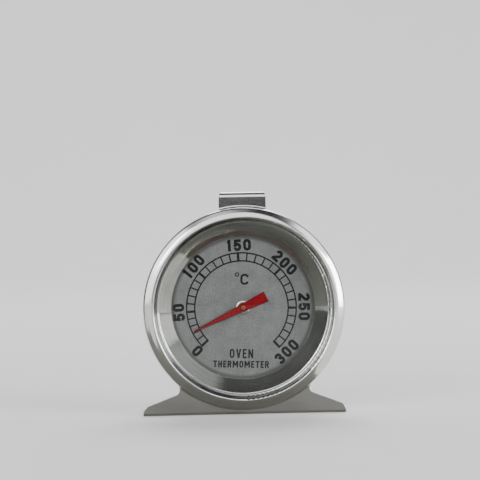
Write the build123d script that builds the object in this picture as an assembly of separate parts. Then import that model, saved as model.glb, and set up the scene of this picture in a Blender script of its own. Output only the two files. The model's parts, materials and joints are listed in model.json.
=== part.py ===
from build123d import *
import math
import os

# A round bimetal oven thermometer that stands on its foot or hangs by its hook.
# Millimetres. +Z is up and the dial faces -Y. The origin is under the foot, in the middle
# of the overall width and depth. A depth is measured back from the rim's foremost line,
# and a radius from the dial's axis.

# Whole object
overall_depth = 38.0
axis_height = 31.8
dial_turn = 2.0

# Front housing: rim, foot and hook from one sheet
sheet = 0.5
rim_radius = 30.0
lip_radius = 25.6
lip_root_radius = 26.15
lip_bend = 0.3
lip_rounding = 0.2
crest_inner_radius = 26.8
crest_inner_bend = 0.6
crest_outer_radius = 27.9
crest_outer_bend = 2.8
shoulder_depth = 1.1
shoulder_bend = 1.0
wall_depth = 2.3
plate_depth = 3.2
flare_radius = 30.7
flare_bend = 0.6
flare_overlap = 0.05
cut_edge = 0.12
hem_depth = 3.1
hem_bend = 0.72
hem_lip_radius = 28.4
hem_start = 17.0
hem_end = 137.0
foot_half_width = 30.3
foot_shoulder_z = -29.3
foot_ridge_z = -17.7
foot_corner = 2.5
foot_blend = 2.0
foot_bend = 1.0
base_corner = 6.0
hook_half_width = 7.0
hook_strip_half_width = 5.8
hook_top = 34.5
hook_corner = 1.25
hook_blend = 0.8
hook_bend = 1.5
hook_run = 9.0
hook_end = 27.5
hook_end_corner = 1.5

# Back case
case_sheet = 0.4
case_flange_radius = 29.3
case_flange_depth = 2.55
case_front_radius = 27.2
case_rear_radius = 25.4
case_back_depth = 15.0
case_back_corner = 1.6
case_step_corner = 0.6
case_small_bend = 0.3
case_recess_rim = 9.8
case_recess_floor = 9.0
case_recess_depth = 0.8
vent_radius = 1.6
vent_circle = 17.5
vent_count = 6

# Lens, conical ring and dial plate
lens_depth = 2.0
lens_radius = 26.6
lens_thickness = 1.6
lens_chamfer = 0.2
ring_sheet = 0.4
ring_mouth_radius = 25.4
ring_mouth_bend = 0.5
ring_throat_radius = 21.3
ring_throat_bend = 0.6
dial_depth = 7.3
dial_thickness = 0.5

# Dial bushing and shaft
shaft_radius = 0.6
running_gap = 0.05
slip_gap = 0.02
bushing_head_radius = 2.25
bushing_head_height = 0.7
bushing_shank_radius = 1.4
bushing_shank_proud = 0.6
bushing_washer_radius = 2.6
bushing_washer_thickness = 0.3
shaft_proud = 0.35
shaft_rear_depth = 13.6
shaft_crown = 0.15

# Pointer, at 23 degrees Celsius on the scale
pointer_depth = 5.5
pointer_sheet = 0.35
pointer_reach = 16.3
pointer_tail = 7.6
pointer_tail_width = 3.25
pointer_tip_width = 0.4
pointer_edge = 0.15
pointer_direction = dial_turn - 117.0
pointer_collet_proud = 0.15
pointer_collet_radius = 0.85
pointer_collet_flange_radius = 1.3
pointer_collet_flange_thickness = 0.35

# Movement behind the dial
bridge_sheet = 0.6
bridge_width = 7.0
bridge_leg_x = 20.4
bridge_foot_x = 24.4
bridge_depth = 12.7
bridge_bend = 0.8
rivet_x = 23.0
rivet_radius = 0.7
rivet_head_radius = 1.1
rivet_head_height = 0.4
rear_bushing_radius = 1.1
rear_bushing_flange_radius = 1.7
rear_bushing_flange_thickness = 0.3
coil_front_depth = 8.9
coil_width = 3.1
coil_strip = 0.3
coil_inner_radius = 1.85
coil_outer_radius = 16.0
coil_turns = 7
coil_grip_angle = 300.0
coil_collet_radius = 1.6
thrust_washer_radius = 1.2
thrust_washer_thickness = 0.2
post_radius = 1.2
post_front_depth = 8.5
post_slot_depth = 12.2
post_slot_gap = 0.1
post_shank_radius = 0.8
post_end_depth = 13.5
coil_rivet_radius = 0.3
coil_rivet_head_radius = 0.55
coil_rivet_head_height = 0.25

crest_y = -overall_depth / 2
back_edge = overall_depth
lip_depth = lens_depth - sheet
lens_back = lens_depth + lens_thickness
dial_back = dial_depth + dial_thickness
case_step_depth = dial_back + case_sheet
bushing_end_depth = dial_back + bushing_shank_proud
pointer_collet_depth = pointer_depth - pointer_collet_proud
shaft_front_depth = pointer_collet_depth - shaft_proud
coil_middle_depth = coil_front_depth + coil_width / 2
bore_radius = shaft_radius + running_gap
slip_bore_radius = shaft_radius + slip_gap


def along_axis(radius, front, back):
    """A round slug on the dial's axis, between two depths."""
    slug = Cylinder(radius, back - front, rotation=(-90, 0, 0))
    return Pos(0, (front + back) / 2, 0) * slug


def washer(outer_radius, inner_radius, front, back):
    """A flat ring on the dial's axis, between two depths."""
    return along_axis(outer_radius, front, back) - along_axis(inner_radius, front, back)


def sheet_section(points, bends, thickness, side=Side.RIGHT):
    """The section of a bent sheet: its outer face follows the points, with rounded bends."""
    face_line = FilletPolyline(*points, radius=bends)
    return make_face(offset(face_line, amount=thickness, side=side))


def turned(section, degrees=360.0):
    """A section drawn as (radius, depth), turned about the dial's axis."""
    return revolve(section, Axis.Y, degrees)


def turned_between(section, start, end):
    """A section turned from one clock angle to another, in degrees clockwise from the top."""
    return turned_clockwise(turned(section, end - start), start - 90)


def pushed_back(outline, front, back):
    """A front-view outline, drawn as (x, z), pushed back between two depths."""
    upright = Plane(origin=(0, back, 0), x_dir=(1, 0, 0), z_dir=(0, -1, 0))
    return extrude(upright * outline, back - front)


def across(section, half_width):
    """A side-view section, drawn as (depth, z), run across the width."""
    return extrude(Plane.YZ * section, half_width, both=True)


def in_place(shape):
    """From the dial's own frame, on its axis at the crest, to the row frame."""
    return Pos(0, crest_y, axis_height) * shape


def turned_clockwise(shape, degrees):
    """Turned about the dial's axis, clockwise as seen from the front."""
    return Rot(0, degrees, 0) * shape


def rim():
    """The raised rim: the lip on the glass, the crest, the rounded shoulder and the wall."""
    points = [
        (lip_radius, lip_depth),
        (lip_root_radius, lip_depth),
        (crest_inner_radius, 0),
        (crest_outer_radius, 0),
        (rim_radius, shoulder_depth),
        (rim_radius, wall_depth),
    ]
    bends = [lip_bend, crest_inner_bend, crest_outer_bend, shoulder_bend]
    section = sheet_section(points, bends, sheet, Side.LEFT)
    lip_corner = section.vertices().sort_by(Axis.X)[:2].sort_by(Axis.Y)[0]
    return turned(fillet(lip_corner, lip_rounding))


def hem():
    """The rim's wall on both sides of the case, rolled in behind the case's flange."""
    points = [
        (rim_radius, wall_depth),
        (rim_radius, hem_depth),
        (hem_lip_radius, hem_depth),
    ]
    section = sheet_section(points, hem_bend, sheet, Side.LEFT)
    right = turned_between(section, hem_start, hem_end)
    return right + mirror(right, Plane.YZ)


def flare():
    """The rim's wall turned out flat, where it runs on into the foot and the hook."""
    points = [
        (rim_radius, wall_depth),
        (rim_radius, plate_depth),
        (flare_radius, plate_depth),
    ]
    section = sheet_section(points, flare_bend, sheet, Side.LEFT)
    above_foot = turned_between(section, hem_end, 360 - hem_end)
    below_hook = turned_between(section, -hem_start, hem_start)
    return (above_foot + below_hook) & pushed_back(front_outline(), 0, back_edge)


def front_outline():
    """Disc, foot and tab as seen from the front, with their blends."""
    foot = make_face(Polyline(
        (foot_half_width, foot_shoulder_z),
        (foot_half_width, -axis_height),
        (-foot_half_width, -axis_height),
        (-foot_half_width, foot_shoulder_z),
        (0, foot_ridge_z),
        close=True,
    ))
    shoulders = foot.vertices().filter_by(lambda v: v.Y == foot_shoulder_z)
    foot = fillet(shoulders, foot_corner)
    tab = Pos(0, hook_top / 2) * Rectangle(2 * hook_half_width, hook_top)
    tab = fillet(tab.vertices().group_by(Axis.Y)[-1], hook_corner)
    outline = Circle(rim_radius) + foot + tab
    for blend, side in ((foot_blend, -1), (hook_blend, 1)):
        corners = [
            v for v in outline.vertices()
            if abs(math.hypot(v.X, v.Y) - rim_radius) < slip_gap and side * v.Y > rim_radius / 2
        ]
        outline = fillet(corners, blend)
    return outline


def plate_outline():
    """The foot and the tab beyond the flare."""
    return front_outline() - Circle(flare_radius - flare_overlap)


def eased_cut(plate):
    """The foot with the cut edges round its front face eased."""
    front_edges = plate.faces().filter_by(Axis.Y).sort_by(Axis.Y)[0].edges()
    bend_line = front_edges.sort_by(lambda edge: abs((edge @ 0.5).Z))[-1]
    seam = front_edges.sort_by(lambda edge: math.hypot((edge @ 0.5).X, (edge @ 0.5).Z))[0]
    return fillet([edge for edge in front_edges if edge not in (bend_line, seam)], cut_edge)


def foot():
    """The foot's front plate and the base bent back from it."""
    points = [
        (back_edge, -axis_height),
        (plate_depth, -axis_height),
        (plate_depth, rim_radius * math.cos(math.radians(hem_end))),
    ]
    folded = across(sheet_section(points, foot_bend, sheet), foot_half_width)
    plan = Pos(0, back_edge / 2) * Rectangle(2 * foot_half_width, back_edge)
    plan = fillet(plan.vertices().group_by(Axis.Y)[-1], base_corner)
    plan_block = Pos(0, 0, -axis_height) * extrude(plan, rim_radius)
    front = pushed_back(plate_outline(), 0, back_edge)
    return eased_cut(folded & front & plan_block)


def hook():
    """The tab at the top, bent back and down to hang over a rack's wire."""
    run_depth = plate_depth + hook_run
    points = [
        (plate_depth, rim_radius * math.cos(math.radians(hem_start))),
        (plate_depth, hook_top),
        (run_depth, hook_top),
        (run_depth, hook_end),
    ]
    strip = across(sheet_section(points, hook_bend, sheet), rim_radius * math.sin(math.radians(hem_start)))
    tab_end = plate_depth + hook_bend
    tab = strip & pushed_back(plate_outline(), 0, tab_end)
    tail = Pos(0, (hook_end + hook_top) / 2) * Rectangle(2 * hook_strip_half_width, hook_top - hook_end)
    tail = fillet(tail.vertices().group_by(Axis.Y)[0], hook_end_corner)
    return tab + (strip & pushed_back(tail, tab_end, back_edge))


def front_housing():
    return hook() + flare() + foot() + hem() + rim()


def back_case():
    """A drawn can whose shoulder carries the dial plate, with air holes in its back."""
    points = [
        (0, case_back_depth - case_recess_depth),
        (case_recess_floor, case_back_depth - case_recess_depth),
        (case_recess_rim, case_back_depth),
        (case_rear_radius, case_back_depth),
        (case_rear_radius, case_step_depth),
        (case_front_radius, case_step_depth),
        (case_front_radius, case_flange_depth),
        (case_flange_radius, case_flange_depth),
    ]
    bends = [
        case_sheet + case_small_bend,
        case_small_bend,
        case_back_corner,
        case_small_bend,
        case_step_corner,
        case_small_bend,
    ]
    can = turned(sheet_section(points, bends, case_sheet))
    hole = Pos(0, 0, vent_circle) * along_axis(vent_radius, case_step_depth, case_back_depth + case_sheet)
    for step in range(vent_count):
        can -= turned_clockwise(hole, 360 / vent_count * (step + 0.5))
    return can


def lens():
    """The flat glass, with its edges eased."""
    glass = along_axis(lens_radius, lens_depth, lens_back)
    return chamfer(glass.edges(), lens_chamfer)


def dial_ring():
    """The polished conical ring between the glass and the dial plate."""
    points = [
        (lens_radius, lens_back),
        (ring_mouth_radius, lens_back),
        (ring_throat_radius, dial_depth - ring_throat_bend),
        (ring_throat_radius, dial_depth),
    ]
    return turned(sheet_section(points, [ring_mouth_bend, ring_throat_bend], ring_sheet))


def dial_plate():
    """The dial's disc, with holes for the bushing and the bridge's rivets."""
    plate = along_axis(lens_radius, dial_depth, dial_back)
    plate -= along_axis(bushing_shank_radius, dial_depth, dial_back)
    for side in (-1, 1):
        plate -= Pos(side * rivet_x, 0, 0) * along_axis(rivet_radius, dial_depth, dial_back)
    return plate


def dial_bushing():
    """A domed brass bushing, swaged behind the dial plate."""
    head_front = dial_depth - bushing_head_height
    head = along_axis(bushing_head_radius, head_front, dial_depth)
    head = fillet(head.faces().sort_by(Axis.Y)[0].edges(), bushing_head_height * 0.85)
    shank = along_axis(bushing_shank_radius, dial_depth, bushing_end_depth)
    return head + shank - along_axis(bore_radius, head_front, bushing_end_depth)


def bushing_washer():
    back = dial_back + bushing_washer_thickness
    return washer(bushing_washer_radius, bushing_shank_radius, dial_back, back)


def pointer_shaft():
    """The shaft, slightly rounded at both ends."""
    shaft = along_axis(shaft_radius, shaft_front_depth, shaft_rear_depth)
    return fillet(shaft.edges().filter_by(GeomType.CIRCLE), shaft_crown)


def pointer():
    """A long tapered blade with eased edges, drawn pointing up and turned to its reading."""
    outline = make_face(Polyline(
        (-pointer_tail_width / 2, -pointer_tail),
        (pointer_tail_width / 2, -pointer_tail),
        (pointer_tip_width / 2, pointer_reach),
        (-pointer_tip_width / 2, pointer_reach),
        close=True,
    ))
    blade = pushed_back(outline, pointer_depth, pointer_depth + pointer_sheet)
    blade = chamfer(blade.faces().sort_by(Axis.Y)[0].edges(), pointer_edge)
    blade -= along_axis(pointer_collet_radius, pointer_depth, pointer_depth + pointer_sheet)
    return turned_clockwise(blade, pointer_direction)


def pointer_collet():
    """The hub that the blade is staked to: a neck through the blade and a flange behind it."""
    blade_back = pointer_depth + pointer_sheet
    flange_back = blade_back + pointer_collet_flange_thickness
    neck = along_axis(pointer_collet_radius, pointer_collet_depth, blade_back)
    flange = along_axis(pointer_collet_flange_radius, blade_back, flange_back)
    return neck + flange - along_axis(slip_bore_radius, pointer_collet_depth, flange_back)


def coil_collet():
    """The hub on the shaft that the coil's inner turn grips."""
    return washer(coil_collet_radius, slip_bore_radius, coil_front_depth, coil_front_depth + coil_width)


def thrust_washer():
    """A thin washer between the dial bushing and the coil's hub."""
    middle = (bushing_end_depth + coil_front_depth) / 2
    half = thrust_washer_thickness / 2
    return washer(thrust_washer_radius, bore_radius, middle - half, middle + half)


def coil_face(shift):
    """One face of the strip, shifted from its middle: a grip round the hub, then growing half turns."""
    growth = (coil_outer_radius - coil_inner_radius) / (2 * coil_turns)
    radius = coil_inner_radius + shift
    start_angle = math.radians(-coil_grip_angle)
    start = (radius * math.cos(start_angle), radius * math.sin(start_angle))
    heading = (-math.sin(start_angle), math.cos(start_angle))
    line = Curve() + JernArc(start, heading, radius, coil_grip_angle)
    for half_turn in range(2 * coil_turns):
        radius += growth
        line += JernArc(line @ 1, line % 1, radius, 180)
    return line + PolarLine(line @ 1, post_radius, direction=line % 1)


def bimetal_coil():
    """The flat spiral of bimetal strip."""
    inner = coil_face(-coil_strip / 2)
    outer = coil_face(coil_strip / 2)
    strip = make_face(inner + outer + Line(inner @ 0, outer @ 0) + Line(inner @ 1, outer @ 1))
    return pushed_back(strip, coil_front_depth, coil_front_depth + coil_width) - coil_rivet_shank()


def movement_bridge():
    """A strap across the back of the dial plate that carries the rear bushing and the post."""
    back = bridge_depth + bridge_sheet
    points = [
        (bridge_foot_x, dial_back),
        (bridge_leg_x, dial_back),
        (bridge_leg_x, bridge_depth),
        (0, bridge_depth),
    ]
    half = sheet_section(points, bridge_bend, bridge_sheet)
    strap = extrude(half, bridge_width / 2, both=True)
    strap += mirror(strap, Plane.YZ)
    strap -= along_axis(rear_bushing_radius, bridge_depth, back)
    strap -= Pos(coil_outer_radius, 0, 0) * along_axis(post_shank_radius, bridge_depth, back)
    for side in (-1, 1):
        strap -= Pos(side * rivet_x, 0, 0) * along_axis(rivet_radius, dial_back, dial_back + bridge_sheet)
    return strap


def bridge_rivets():
    """Two rivets through the dial plate and the bridge's feet, under the conical ring."""
    foot_back = dial_back + bridge_sheet
    rivet = along_axis(rivet_radius, dial_depth, foot_back)
    rivet += along_axis(rivet_head_radius, dial_depth - rivet_head_height, dial_depth)
    rivet += along_axis(rivet_head_radius, foot_back, foot_back + rivet_head_height)
    return Compound([Pos(side * rivet_x, 0, 0) * rivet for side in (-1, 1)])


def rear_bushing():
    """The shaft's rear bearing, pressed into the bridge from the front."""
    front = bridge_depth - rear_bushing_flange_thickness
    back = bridge_depth + bridge_sheet
    flange = along_axis(rear_bushing_flange_radius, front, bridge_depth)
    barrel = along_axis(rear_bushing_radius, bridge_depth, back)
    return flange + barrel - along_axis(bore_radius, front, back)


def anchor_post():
    """The slotted post that the coil's outer end passes through."""
    post = along_axis(post_radius, post_front_depth, bridge_depth)
    slot_width = coil_strip + 2 * post_slot_gap
    slot = Box(slot_width, post_slot_depth - post_front_depth, 2 * post_radius)
    post -= Pos(0, (post_front_depth + post_slot_depth) / 2, 0) * slot
    post += along_axis(post_shank_radius, bridge_depth, post_end_depth)
    return Pos(coil_outer_radius, 0, 0) * post - coil_rivet_shank()


def sideways(radius, inner_x, outer_x):
    """A round slug along X through the middle of the coil's outer end, between two x."""
    slug = Cylinder(radius, outer_x - inner_x, rotation=(0, 90, 0))
    return Pos((inner_x + outer_x) / 2, coil_middle_depth, 0) * slug


def coil_rivet_shank():
    return sideways(coil_rivet_radius, coil_outer_radius - post_radius, coil_outer_radius + post_radius)


def coil_rivet():
    """The small rivet that locks the coil's end in the anchor post's slot."""
    inner_face = coil_outer_radius - post_radius
    outer_face = coil_outer_radius + post_radius
    inner_head = sideways(coil_rivet_head_radius, inner_face - coil_rivet_head_height, inner_face)
    outer_head = sideways(coil_rivet_head_radius, outer_face, outer_face + coil_rivet_head_height)
    return coil_rivet_shank() + inner_head + outer_head


parts = {
    "front_housing": front_housing,
    "back_case": back_case,
    "lens": lens,
    "dial_ring": dial_ring,
    "dial_plate": dial_plate,
    "dial_bushing": dial_bushing,
    "bushing_washer": bushing_washer,
    "pointer": pointer,
    "pointer_collet": pointer_collet,
    "pointer_shaft": pointer_shaft,
    "coil_collet": coil_collet,
    "thrust_washer": thrust_washer,
    "bimetal_coil": bimetal_coil,
    "movement_bridge": movement_bridge,
    "bridge_rivets": bridge_rivets,
    "rear_bushing": rear_bushing,
    "anchor_post": anchor_post,
    "coil_rivet": coil_rivet,
}

os.makedirs("parts", exist_ok=True)
for name, make in parts.items():
    export_step(in_place(make()), f"parts/{name}.step")
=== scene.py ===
import json
import math

import bmesh
import bpy
from mathutils import Matrix, Vector


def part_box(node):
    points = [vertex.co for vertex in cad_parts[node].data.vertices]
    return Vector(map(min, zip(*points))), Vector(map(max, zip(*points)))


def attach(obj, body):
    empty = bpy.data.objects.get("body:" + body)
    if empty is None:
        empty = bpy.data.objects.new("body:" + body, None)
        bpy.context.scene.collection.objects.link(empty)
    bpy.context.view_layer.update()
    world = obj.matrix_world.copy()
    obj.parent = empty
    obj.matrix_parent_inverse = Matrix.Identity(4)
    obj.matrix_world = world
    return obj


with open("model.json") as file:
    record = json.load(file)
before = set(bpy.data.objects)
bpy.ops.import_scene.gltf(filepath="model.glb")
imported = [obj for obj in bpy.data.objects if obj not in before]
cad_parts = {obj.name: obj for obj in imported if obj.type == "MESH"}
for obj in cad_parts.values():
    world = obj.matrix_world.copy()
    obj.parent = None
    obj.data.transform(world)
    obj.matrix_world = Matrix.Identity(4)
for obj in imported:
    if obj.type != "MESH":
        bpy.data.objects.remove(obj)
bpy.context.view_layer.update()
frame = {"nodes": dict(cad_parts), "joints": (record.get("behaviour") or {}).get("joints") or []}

# An oven thermometer in metres, +Z up, its dial facing -Y. The CAD nodes carry the structure.
# This script adds the dial's print, every material, and the studio.

MM = 0.001

# Places read from the frame
AXIS_Z = frame["joints"][0]["pos_m"][2]
DIAL_FACE_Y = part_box("dial_plate")[0].y

# The printed dial, in millimetres and degrees clockwise from the scale's middle. The print is a
# little off the shaft's axis, and its labelled angles are uneven.
DIAL_TURN = 2.0
INK_TOP = 0.02
INK_FOOT = 0.004
PRINT_SHIFT = (-0.42, -0.12)
SCALE_INNER = 14.0
SCALE_OUTER = 16.42
SCALE_LINE = 0.42
MINOR_TICK = 0.4
MAJOR_TICK = 0.72
MAJOR_ANGLES = {0: -135.0, 50: -95.5, 100: -51.75, 150: -5.0, 200: 43.75, 250: 89.0, 300: 135.0}
MAJOR_STEP = 50
MINOR_STEP = 10
NUMBER_SIZE = (2.3, 3.5)
NUMBER_GAP = 0.6
NUMBER_PEN = 0.85
# Each number's radius and angle
NUMBER_PLACES = {0: (18.45, -135.5), 50: (18.8, -95.5), 100: (18.9, -50.6), 150: (18.7, -4.0),
                 200: (18.65, 42.8), 250: (18.8, 88.1), 300: (18.95, 133.3)}
UPTURNED_NUMBERS = (300,)
# A sign's width as a share of its word's, where it isn't one
SIGN_WIDTHS = {"1": 0.72, "E": 0.82, "H": 0.95, "M": 1.4}
ARC_STEP = 1.0
BOW_STEP = 15
# The least cosine a mitre is drawn with, and the cosine that counts as level or upright
MITRE_LIMIT = 0.6
STRAIGHT = 0.9999

# Painted shade in the rim's groove and painted shadow of the rim at the dial's edge: inner radius, outer
# radius and fade, in millimetres
GROOVE_SHADE_BAND = (25.95, 26.7, 0.35)
DIAL_RIM_SHADOW = (20.9, 30.0, 0.8)

# The studio. Each lamp: place, width and height, and watts. Each soft box: azimuth from the front,
# elevation, half width and edge in degrees, and strength.
LAMP_AIM = (0, 0, 0.03)
LAMPS = {
    "key": ((0.72, -0.5, 0.16), (0.4, 0.4), 6.0),
    "fill": ((-0.42, -0.72, 0.4), (0.3, 0.3), 1.2),
    "rear": ((0.1, 0.55, 0.8), (0.7, 0.5), 6.0),
}
ROOM_LIGHT = 0.035
SOFT_BOXES = [
    (38, 0, 20, 6, 1.9),
    (72, -2, 16, 8, 1.6),
    (48, 26, 12, 6, 1.9),
    (-38, 2, 20, 6, 2.4),
    (-42, 28, 11, 6, 2.2),
    (-6, 28, 20, 8, 1.9),
    (68, 43, 12, 14, 0.5),
    (180, 30, 50, 20, 0.4),
]


# ---------------------------------------------------------------- node helpers

def add(tree, kind, inputs=None, **settings):
    """A new node with its settings, and its inputs given as values or as sockets to link."""
    node = tree.nodes.new(kind)
    for name, value in settings.items():
        setattr(node, name, value)
    for name, value in (inputs or {}).items():
        if isinstance(value, bpy.types.NodeSocket):
            tree.links.new(value, node.inputs[name])
        else:
            node.inputs[name].default_value = value
    return node


def new_material(name):
    """A material with its tree emptied down to a Principled shader and the output."""
    material = bpy.data.materials.new(name)
    material.use_nodes = True
    tree = material.node_tree
    tree.nodes.clear()
    shader = add(tree, "ShaderNodeBsdfPrincipled")
    add(tree, "ShaderNodeOutputMaterial", {"Surface": shader.outputs[0]})
    return material, tree, shader


def object_point(tree, scale=(1, 1, 1), location=(0, 0, 0)):
    """The surface point in metres, stretched by scale."""
    coordinates = add(tree, "ShaderNodeTexCoord")
    mapping = add(tree, "ShaderNodeMapping", {
        "Vector": coordinates.outputs["Object"], "Scale": scale, "Location": location})
    return mapping.outputs[0]


def noise(tree, point, scale, detail=3.0, roughness=0.5):
    return add(tree, "ShaderNodeTexNoise", {
        "Vector": point, "Scale": scale, "Detail": detail, "Roughness": roughness}).outputs["Fac"]


def ranged(tree, value, low, high, low_in=0.3, high_in=0.7):
    """The value taken from one range to another."""
    return add(tree, "ShaderNodeMapRange", {
        "Value": value, "From Min": low_in, "From Max": high_in, "To Min": low, "To Max": high}).outputs[0]


def combined(tree, operation, first, second):
    return add(tree, "ShaderNodeMath", {0: first, 1: second}, operation=operation).outputs[0]


def weighed(tree, first, share, second, other_share):
    """The sum of two values, each times its own share."""
    return combined(tree, "ADD", combined(tree, "MULTIPLY", first, share),
                    combined(tree, "MULTIPLY", second, other_share))


def bumped(tree, shader, height, distance, strength=1.0):
    bump = add(tree, "ShaderNodeBump", {"Height": height, "Distance": distance, "Strength": strength})
    tree.links.new(bump.outputs[0], shader.inputs["Normal"])


def tinted(tree, shader, factor, first, second):
    """Base colour between two tones. The first may be a socket."""
    if not isinstance(first, bpy.types.NodeSocket):
        first = (*first, 1)
    # A colour mix takes its two colours at inputs 6 and 7, and gives the result at output 2
    mix = add(tree, "ShaderNodeMix", {"Factor": factor, 6: first, 7: (*second, 1)}, data_type="RGBA")
    tree.links.new(mix.outputs[2], shader.inputs["Base Color"])


def axis_radius(tree):
    """The distance from the dial's axis."""
    point = object_point(tree, location=(0, 0, -AXIS_Z))
    flat = add(tree, "ShaderNodeVectorMath", {0: point, 1: (1, 0, 1)}, operation="MULTIPLY")
    return add(tree, "ShaderNodeVectorMath", {0: flat.outputs[0]}, operation="LENGTH").outputs["Value"]


def ring_mask(tree, inner, outer, fade):
    """One between two distances from the dial's axis, and nothing past the fade on either side."""
    radius = axis_radius(tree)
    rise = ranged(tree, radius, 0.0, 1.0, (inner - fade) * MM, inner * MM)
    fall = ranged(tree, radius, 1.0, 0.0, outer * MM, (outer + fade) * MM)
    return combined(tree, "MULTIPLY", rise, fall)


def shaded(tree, shader, mask, colour):
    """The base colour taken to another where the mask is one."""
    tinted(tree, shader, mask, shader.inputs["Base Color"].links[0].from_socket, colour)


# ---------------------------------------------------------------- materials

def rolled_steel(name, light, dark, smooth, rough):
    """Stainless sheet with rolling grain, faint smudges and shallow waves."""
    material, tree, shader = new_material(name)
    grain_lines = noise(tree, object_point(tree, scale=(12, 140, 140)), 14.0, 4.0)
    smudges = noise(tree, object_point(tree), 60.0, 4.0, 0.6)
    waves = noise(tree, object_point(tree, location=(3, 1, 2)), 110.0, 1.0)
    mixed = weighed(tree, grain_lines, 0.5, smudges, 0.5)
    tree.links.new(ranged(tree, mixed, smooth, rough), shader.inputs["Roughness"])
    tinted(tree, shader, ranged(tree, mixed, 0, 1), dark, light)
    bumped(tree, shader, weighed(tree, waves, 60.0, grain_lines, 1.0), 4e-7)
    shader.inputs["Metallic"].default_value = 1.0
    return material


def tarnished_groove(material):
    """Painted shade in the groove between the rim's crest and its lip, heaviest at the left."""
    tree = material.node_tree
    shader = tree.nodes["Principled BSDF"]
    across = add(tree, "ShaderNodeSeparateXYZ", {0: object_point(tree)}).outputs["X"]
    # Painted shade: darker in the groove, and heavier towards the left side
    left_side = ranged(tree, across, 0.9, 0.1, -0.012, 0.014)
    groove_shade = combined(tree, "MULTIPLY", ring_mask(tree, *GROOVE_SHADE_BAND), left_side)
    shaded(tree, shader, groove_shade, (0.1, 0.095, 0.1))


def turned_metal(name, light, dark, smooth, rough):
    """Metal with fine rings round the dial's axis, as drawing or turning leaves."""
    material, tree, shader = new_material(name)
    lines = add(tree, "ShaderNodeTexNoise", {
        "W": combined(tree, "MULTIPLY", axis_radius(tree), 3000.0), "Scale": 1.0, "Detail": 3.0},
        noise_dimensions="1D").outputs["Fac"]
    smudges = noise(tree, object_point(tree), 90.0, 4.0, 0.6)
    mixed = weighed(tree, lines, 0.5, smudges, 0.5)
    tree.links.new(ranged(tree, mixed, smooth, rough), shader.inputs["Roughness"])
    tinted(tree, shader, ranged(tree, mixed, 0, 1), dark, light)
    bumped(tree, shader, lines, 8e-7)
    shader.inputs["Metallic"].default_value = 1.0
    return material


def satin_dial():
    """The dial's satin grey coat: fine grain with cloudy patches, and a painted shadow of the rim round
    its edge.
    """
    material, tree, shader = new_material("satin_dial")
    grain = noise(tree, object_point(tree), 2400.0, 4.0, 0.75)
    clouds = noise(tree, object_point(tree), 260.0, 4.0, 0.6)
    mixed = weighed(tree, grain, 0.7, clouds, 0.3)
    tinted(tree, shader, ranged(tree, mixed, 0, 1), (0.077, 0.075, 0.076), (0.236, 0.23, 0.231))
    # Painted shadow of the rim across the dial's outer edge
    shaded(tree, shader, ring_mask(tree, *DIAL_RIM_SHADOW), (0.07, 0.07, 0.07))
    tree.links.new(ranged(tree, grain, 0.38, 0.52), shader.inputs["Roughness"])
    bumped(tree, shader, grain, 8e-6, 0.6)
    shader.inputs["Metallic"].default_value = 0.55
    return material


def ink():
    """Black screen-printed ink, a little uneven."""
    material, tree, shader = new_material("ink")
    grain = noise(tree, object_point(tree), 4000.0, 3.0, 0.6)
    tinted(tree, shader, ranged(tree, grain, 0, 1), (0.002, 0.0015, 0.002), (0.008, 0.006, 0.007))
    shader.inputs["Specular IOR Level"].default_value = 0.15
    tree.links.new(ranged(tree, grain, 0.35, 0.6), shader.inputs["Roughness"])
    bumped(tree, shader, grain, 4e-6, 0.5)
    return material


def red_enamel():
    """The pointer's red coat, with painted shade on its eased edges and on every face not turned to the
    front.
    """
    material, tree, shader = new_material("red_enamel")
    grain = noise(tree, object_point(tree), 1500.0, 3.0, 0.6)
    # Painted shade: every face not turned to the front, edges and sides alike, takes the darker red
    normal = add(tree, "ShaderNodeTexCoord").outputs["Normal"]
    turned_away = add(tree, "ShaderNodeSeparateXYZ", {0: normal}).outputs["Y"]
    flatness = ranged(tree, turned_away, 1.0, 0.0, -0.97, -0.8)
    tone = combined(tree, "MULTIPLY", flatness, ranged(tree, grain, 0.7, 1.0))
    tinted(tree, shader, tone, (0.035, 0.0, 0.002), (0.18, 0.0, 0.004))
    tree.links.new(ranged(tree, grain, 0.4, 0.55), shader.inputs["Roughness"])
    bumped(tree, shader, grain, 6e-6, 0.5)
    shader.inputs["Specular IOR Level"].default_value = 0.05
    return material


def clear_glass():
    """Clear flat glass with faint dust. It lets the lamps through to the dial."""
    material, tree, shader = new_material("clear_glass")
    dust = noise(tree, object_point(tree), 300.0, 5.0, 0.7)
    tree.links.new(ranged(tree, dust, 0.0, 0.05, 0.45, 0.75), shader.inputs["Roughness"])
    shader.inputs["Base Color"].default_value = (0.97, 0.985, 0.98, 1)
    shader.inputs["Transmission Weight"].default_value = 1.0
    shader.inputs["IOR"].default_value = 1.5
    see_through = add(tree, "ShaderNodeBsdfTransparent", {"Color": (0.94, 0.96, 0.95, 1)})
    path = add(tree, "ShaderNodeLightPath")
    mix = add(tree, "ShaderNodeMixShader", {
        0: path.outputs["Is Shadow Ray"], 1: shader.outputs[0], 2: see_through.outputs[0]})
    tree.links.new(mix.outputs[0], tree.nodes["Material Output"].inputs["Surface"])
    return material


def matte_paper(name, colour):
    """Paper or card for the studio, with faint fibres."""
    material, tree, shader = new_material(name)
    fibres = noise(tree, object_point(tree), 40.0, 4.0)
    tinted(tree, shader, ranged(tree, fibres, 0, 1), tuple(c * 0.985 for c in colour), colour)
    shader.inputs["Roughness"].default_value = 0.85
    return material


# ---------------------------------------------------------------- meshes

def built(name, mesh, material):
    """An object in the scene from a bmesh, which is freed."""
    data = bpy.data.meshes.new(name)
    mesh.to_mesh(data)
    mesh.free()
    data.materials.append(material)
    piece = bpy.data.objects.new(name, data)
    bpy.context.scene.collection.objects.link(piece)
    return piece


def printed(name, mesh, material):
    """A bmesh made into a piece of the dial's print."""
    bmesh.ops.recalc_face_normals(mesh, faces=mesh.faces)
    piece = built(name, mesh, material)
    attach(piece, "case")


# ---------------------------------------------------------------- the dial's print

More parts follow.
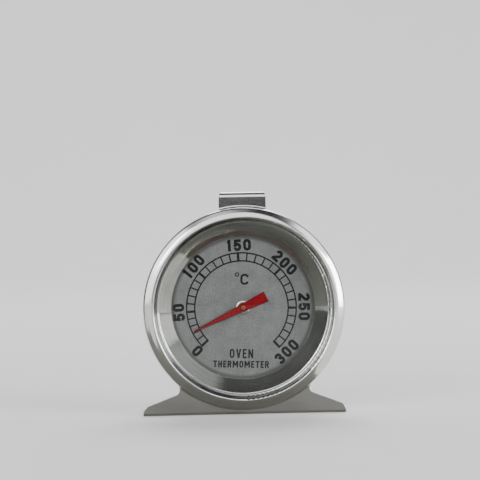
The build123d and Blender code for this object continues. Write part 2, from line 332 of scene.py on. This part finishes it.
def on_dial(across, up, lift):
    """A point of the printed dial in the row frame, from its own millimetres."""
    turn = math.radians(DIAL_TURN)
    across, up = across + PRINT_SHIFT[0], up + PRINT_SHIFT[1]
    x = across * math.cos(turn) + up * math.sin(turn)
    z = up * math.cos(turn) - across * math.sin(turn)
    return Vector((x * MM, DIAL_FACE_Y - lift * MM, AXIS_Z + z * MM))


def polar(radius, degrees):
    """Across and up, from a radius and an angle clockwise from the scale's middle."""
    angle = math.radians(degrees)
    return radius * math.sin(angle), radius * math.cos(angle)


def print_face(mesh, outline):
    """One patch of ink: a raised face with its sides, from points in dial millimetres."""
    top = [mesh.verts.new(on_dial(x, z, INK_TOP)) for x, z in outline]
    foot = [mesh.verts.new(on_dial(x, z, INK_FOOT)) for x, z in outline]
    mesh.faces.new(top)
    for index in range(len(outline)):
        after = (index + 1) % len(outline)
        mesh.faces.new((top[after], top[index], foot[index], foot[after]))


def radial_bar(mesh, degrees, inner, outer, width):
    """A straight bar that points at the dial's middle."""
    sine, cosine = math.sin(math.radians(degrees)), math.cos(math.radians(degrees))
    corners = ((-width / 2, inner), (-width / 2, outer), (width / 2, outer), (width / 2, inner))
    print_face(mesh, [(u * cosine + v * sine, v * cosine - u * sine) for u, v in corners])


def arc_line(mesh, radius, width, start, end):
    """A thin arc, as a row of short patches."""
    steps = round((end - start) / ARC_STEP)
    angles = [start + (end - start) * step / steps for step in range(steps + 1)]
    outer = [polar(radius + width / 2, angle) for angle in angles]
    inner = [polar(radius - width / 2, angle) for angle in angles]
    for index in range(steps):
        print_face(mesh, [inner[index], outer[index], outer[index + 1], inner[index + 1]])


def reading_angle(celsius):
    """Where a temperature stands on the scale."""
    below = min(celsius // MAJOR_STEP * MAJOR_STEP, max(MAJOR_ANGLES) - MAJOR_STEP)
    share = (celsius - below) / MAJOR_STEP
    return MAJOR_ANGLES[below] * (1 - share) + MAJOR_ANGLES[below + MAJOR_STEP] * share


def scale_print(material):
    """The scale's two arcs and its ticks."""
    mesh = bmesh.new()
    first, last = min(MAJOR_ANGLES.values()), max(MAJOR_ANGLES.values())
    arc_line(mesh, SCALE_INNER, SCALE_LINE, first, last)
    arc_line(mesh, SCALE_OUTER, SCALE_LINE, first, last)
    for celsius in range(0, max(MAJOR_ANGLES) + 1, MINOR_STEP):
        width = MINOR_TICK if celsius % MAJOR_STEP else MAJOR_TICK
        radial_bar(mesh, reading_angle(celsius), SCALE_INNER - SCALE_LINE / 2,
                   SCALE_OUTER + SCALE_LINE / 2, width)
    printed("scale_print", mesh, material)


def bow(across, up, wide, tall, start, end):
    """Points along an ellipse, from one angle to another, counter-clockwise from the right."""
    steps = max(2, round(abs(end - start) / BOW_STEP))
    angles = [math.radians(start + (end - start) * step / steps) for step in range(steps + 1)]
    return [(across + wide * math.cos(angle), up + tall * math.sin(angle)) for angle in angles]


def loop(round_part):
    """A closed oblong with rounded ends, its first point repeated at the end."""
    points = bow(0.5, 1 - round_part, 0.5, round_part, 180, 0)
    points += bow(0.5, round_part, 0.5, round_part, 0, -180)
    return points + points[:1]


# Each sign's pen strokes, in a box one unit wide and one high
SIGNS = {
    "0": [loop(0.26)],
    "1": [[(0.7, 0), (0.7, 1)], [(0.7, 0.96), (0.05, 0.78)]],
    "2": [bow(0.5, 0.73, 0.5, 0.27, 178, -28) + [(0.04, 0.08)], [(0, 0), (1, 0)]],
    "3": [bow(0.5, 0.76, 0.47, 0.24, 172, -80) + bow(0.5, 0.27, 0.5, 0.27, 82, -172)],
    "5": [[(0.93, 1), (0.12, 1), (0.06, 0.5)] + bow(0.5, 0.31, 0.5, 0.31, 140, -168)],
    "C": [bow(0.5, 0.7, 0.5, 0.3, 8, 180) + bow(0.5, 0.3, 0.5, 0.3, 180, 352)],
    "E": [[(1, 1), (0, 1), (0, 0), (1, 0)], [(0, 0.52), (0.86, 0.52)]],
    "H": [[(0, 0), (0, 1)], [(1, 0), (1, 1)], [(0, 0.51), (1, 0.51)]],
    "M": [[(0, 0), (0, 1)], [(0.06, 1), (0.5, 0.25)], [(0.94, 1), (0.5, 0.25)], [(1, 0), (1, 1)]],
    "N": [[(0, 0), (0, 1)], [(0.04, 1), (0.96, 0)], [(1, 0), (1, 1)]],
    "O": [loop(0.3)],
    "R": [[(0, 0), (0, 1)] + bow(0.62, 0.75, 0.38, 0.25, 90, -90) + [(0, 0.5)],
          [(0.55, 0.5), (1.04, -0.1)]],
    "T": [[(0, 1), (1, 1)], [(0.5, 0), (0.5, 1)]],
    "V": [[(-0.02, 1.1), (0.5, -0.1)], [(1.02, 1.1), (0.5, -0.1)]],
}


def is_closed(points, width):
    """Whether a stroke ends where it starts."""
    return (points[0] - points[-1]).length < width / 10


def pen_line(mesh, points, width, place):
    """One pen stroke of even width, square at its ends and mitred at its corners."""
    points = [Vector(point) for point in points]
    closed = is_closed(points, width)
    sides = []
    for index, point in enumerate(points):
        before = points[index - 1] if index else (points[-2] if closed else None)
        after = points[index + 1] if index < len(points) - 1 else (points[1] if closed else None)
        incoming = (point - before).normalized() if before else (after - point).normalized()
        outgoing = (after - point).normalized() if after else incoming
        middle = (incoming + outgoing).normalized()
        reach = width / 2 / max(middle.dot(outgoing), MITRE_LIMIT)
        sides.append((point - middle.orthogonal() * reach, point + middle.orthogonal() * reach))
    for (left, right), (next_left, next_right) in zip(sides, sides[1:]):
        print_face(mesh, [place(left), place(right), place(next_right), place(next_left)])


def capped(points, width):
    """The stroke with its level and upright ends half its width longer, unless it is closed."""
    points = [Vector(point) for point in points]
    if is_closed(points, width):
        return points
    for end, inner in ((0, 1), (-1, -2)):
        heading = (points[end] - points[inner]).normalized()
        if max(abs(heading.x), abs(heading.y)) > STRAIGHT:
            points[end] = points[end] + heading * (width / 2)
    return points


def lettering(name, text, material, centre, size, gap, pen, degrees=0.0):
    """A word in pen strokes, centred on a point of the dial and turned clockwise."""
    wide, tall = size
    angle = math.radians(degrees)
    widths = [wide * SIGN_WIDTHS.get(sign, 1.0) for sign in text]
    left = -(sum(widths) + gap * (len(text) - 1)) / 2
    mesh = bmesh.new()

    def place(point):
        x, z = point
        return (centre[0] + x * math.cos(angle) + z * math.sin(angle),
                centre[1] + z * math.cos(angle) - x * math.sin(angle))

    for sign, width in zip(text, widths):
        for stroke in SIGNS[sign]:
            laid = [(left + pen / 2 + x * (width - pen), -tall / 2 + pen / 2 + z * (tall - pen))
                    for x, z in stroke]
            pen_line(mesh, capped(laid, pen), pen, place)
        left += width + gap
    printed(name, mesh, material)


def numbers_print(material):
    """The scale's numbers, each with its foot towards the dial's middle but for the upturned."""
    for celsius, (radius, angle) in NUMBER_PLACES.items():
        turn = angle - 180 if celsius in UPTURNED_NUMBERS else angle
        lettering(f"number_{celsius}", str(celsius), material, polar(radius, angle),
                  NUMBER_SIZE, NUMBER_GAP, NUMBER_PEN, turn)


def words_print(material):
    """The dial's two words and the sign for degrees Celsius."""
    lettering("word_oven", "OVEN", material, (0.25, -13.75), (1.45, 2.75), 0.5, 0.45)
    lettering("word_thermometer", "THERMOMETER", material, (0.2, -16.95), (1.17, 2.05), 0.36, 0.4)
    lettering("unit_c", "C", material, (0.75, 8.5), (2.5, 3.3), 0.0, 0.6)
    mesh = bmesh.new()
    pen_line(mesh, bow(-1.55, 9.9, 0.5, 0.5, 0, 360), 0.32, tuple)
    printed("unit_degree", mesh, material)


# ---------------------------------------------------------------- studio

def area_light(name, place, size, power):
    """A white rectangular lamp that points at the object."""
    lamp = bpy.data.lights.new(name, "AREA")
    lamp.shape = "RECTANGLE"
    lamp.size, lamp.size_y = size
    lamp.energy = power
    light = bpy.data.objects.new(name, lamp)
    bpy.context.scene.collection.objects.link(light)
    light.location = place
    light.rotation_euler = (Vector(LAMP_AIM) - Vector(place)).to_track_quat("-Z", "Y").to_euler()


def sweep():
    """A pale floor that curves up behind the object."""
    half_width, front, back, height, bend, bend_steps = 3.0, -2.5, 1.4, 2.4, 0.7, 15
    turns = [math.radians(90 / bend_steps * step) for step in range(1, bend_steps + 1)]
    profile = [(front, 0.0), (back - bend, 0.0)]
    profile += [(back - bend + bend * math.sin(turn), bend - bend * math.cos(turn)) for turn in turns]
    profile.append((back, height))
    mesh = bmesh.new()
    rows = [[mesh.verts.new((x, y, z)) for x in (-half_width, half_width)] for y, z in profile]
    for lower, upper in zip(rows, rows[1:]):
        mesh.faces.new((lower[0], lower[1], upper[1], upper[0]))
    floor = built("floor", mesh, matte_paper("studio_paper", (0.86, 0.86, 0.85)))
    for face in floor.data.polygons:
        face.use_smooth = True


def card(name, corners, tone):
    """A dark card that only reflections see, as a studio flag."""
    mesh = bmesh.new()
    mesh.faces.new([mesh.verts.new(corner) for corner in corners])
    piece = built(name, mesh, matte_paper(name, tone))
    piece.visible_camera = False
    piece.visible_diffuse = False
    piece.visible_shadow = False


def flags():
    """Cards on the floor before the foot, upright before the lens, and upright at the left."""
    near, far, lift, left, notch = -0.0153, -0.5, 0.0001, -0.45, -0.06
    floor_outline = [(left, near), (0.032, near), (0.09, far), (notch, far), (notch, notch), (left, -0.2)]
    card("floor_card", [(x, y, lift) for x, y in floor_outline], (0.15, 0.148, 0.13))
    front_outline = [(-0.1, 0), (0.12, 0), (0.12, 0.05), (-0.1, 0.05)]
    card("front_card", [(x, far, z) for x, z in front_outline], (0.07, 0.07, 0.065))
    side, side_outline = -0.3, [(-0.14, 0), (0.05, 0), (0.05, 0.3), (-0.14, 0.3)]
    card("side_card", [(side, y, z) for y, z in side_outline], (0.05, 0.05, 0.05))


def facing(azimuth, elevation):
    """The direction at an azimuth from the front and an elevation, in degrees."""
    side, up = math.radians(azimuth), math.radians(elevation)
    return math.sin(side) * math.cos(up), -math.cos(side) * math.cos(up), math.sin(up)


def soft_box(tree, direction, azimuth, elevation, half_width, edge, strength):
    """Light from one round patch of the surroundings, with a soft edge. Angles in degrees."""
    near = add(tree, "ShaderNodeVectorMath", {0: direction, 1: facing(azimuth, elevation)},
               operation="DOT_PRODUCT").outputs["Value"]
    outer, inner = math.cos(math.radians(half_width + edge)), math.cos(math.radians(half_width))
    return add(tree, "ShaderNodeMapRange", {
        "Value": near, "From Min": outer, "From Max": inner, "To Min": 0.0, "To Max": strength},
        interpolation_type="SMOOTHSTEP").outputs[0]


def surroundings():
    """A dim room with soft boxes for the polished steel to show."""
    world = bpy.data.worlds.new("studio")
    bpy.context.scene.world = world
    world.use_nodes = True
    tree = world.node_tree
    tree.nodes.clear()
    direction = add(tree, "ShaderNodeTexCoord").outputs["Generated"]
    light = ROOM_LIGHT
    for box in SOFT_BOXES:
        light = combined(tree, "ADD", light, soft_box(tree, direction, *box))
    background = add(tree, "ShaderNodeBackground", {"Color": (0.97, 0.985, 1.0, 1), "Strength": light})
    add(tree, "ShaderNodeOutputWorld", {"Surface": background.outputs[0]})


def camera():
    """A long lens a little above and to the left of the dial's axis, turned a little about its own.

    The view is as wide at the dial as view_width, and the dial's middle is below and to one side of
    its own middle.
    """
    distance, azimuth, elevation, roll = 0.65, -3.6, 3.9, 0.85
    view_width, view_across, view_up = 0.14366, 0.00054, 0.02011
    data = bpy.data.cameras.new("camera")
    data.lens = distance * data.sensor_width / view_width
    data.clip_start = 0.01
    eye = bpy.data.objects.new("camera", data)
    bpy.context.scene.collection.objects.link(eye)
    bpy.context.scene.camera = eye
    centre = Vector((0, DIAL_FACE_Y, AXIS_Z))
    towards = Vector(facing(azimuth, elevation))
    look = (-towards).to_track_quat("-Z", "Y").to_matrix()
    aim = Matrix.Rotation(math.atan2(view_up, distance), 3, "X")
    aim = aim @ Matrix.Rotation(math.atan2(view_across, distance), 3, "Y")
    aim = aim @ Matrix.Rotation(-math.radians(roll), 3, "Z")
    eye.matrix_world = Matrix.Translation(centre + towards * distance) @ (look @ aim).to_4x4()


# ---------------------------------------------------------------- the whole

def dress(node, material):
    """Gives a CAD node its material."""
    slots = frame["nodes"][node].data.materials
    slots.clear()
    slots.append(material)


housing_steel = rolled_steel("housing_steel", (0.78, 0.77, 0.76), (0.64, 0.64, 0.62), 0.09, 0.17)
case_steel = turned_metal("case_steel", (0.66, 0.66, 0.65), (0.52, 0.52, 0.51), 0.22, 0.36)
ring_steel = turned_metal("ring_steel", (0.63, 0.64, 0.6), (0.5, 0.51, 0.47), 0.035, 0.08)
movement_steel = rolled_steel("movement_steel", (0.6, 0.61, 0.63), (0.45, 0.46, 0.48), 0.25, 0.4)
bimetal = rolled_steel("bimetal", (0.55, 0.51, 0.44), (0.42, 0.38, 0.32), 0.25, 0.38)
brass = turned_metal("brass", (0.8, 0.66, 0.45), (0.62, 0.48, 0.3), 0.16, 0.3)
shaft_brass = turned_metal("shaft_brass", (0.3, 0.12, 0.06), (0.2, 0.08, 0.04), 0.25, 0.4)
bushing_nickel = turned_metal("bushing_nickel", (0.86, 0.8, 0.78), (0.7, 0.62, 0.58), 0.1, 0.2)

tarnished_groove(housing_steel)
red = red_enamel()

for node, material in {
    "front_housing": housing_steel,
    "back_case": case_steel,
    "dial_ring": ring_steel,
    "dial_plate": satin_dial(),
    "lens": clear_glass(),
    "pointer": red,
    "pointer_collet": red,
    "pointer_shaft": shaft_brass,
    "dial_bushing": bushing_nickel,
    "coil_collet": brass,
    "thrust_washer": brass,
    "rear_bushing": brass,
    "anchor_post": brass,
    "bushing_washer": movement_steel,
    "movement_bridge": movement_steel,
    "bridge_rivets": movement_steel,
    "coil_rivet": movement_steel,
    "bimetal_coil": bimetal,
}.items():
    dress(node, material)

black = ink()
scale_print(black)
numbers_print(black)
words_print(black)

sweep()
flags()
surroundings()
for lamp_name, settings in LAMPS.items():
    area_light(lamp_name, *settings)
camera()
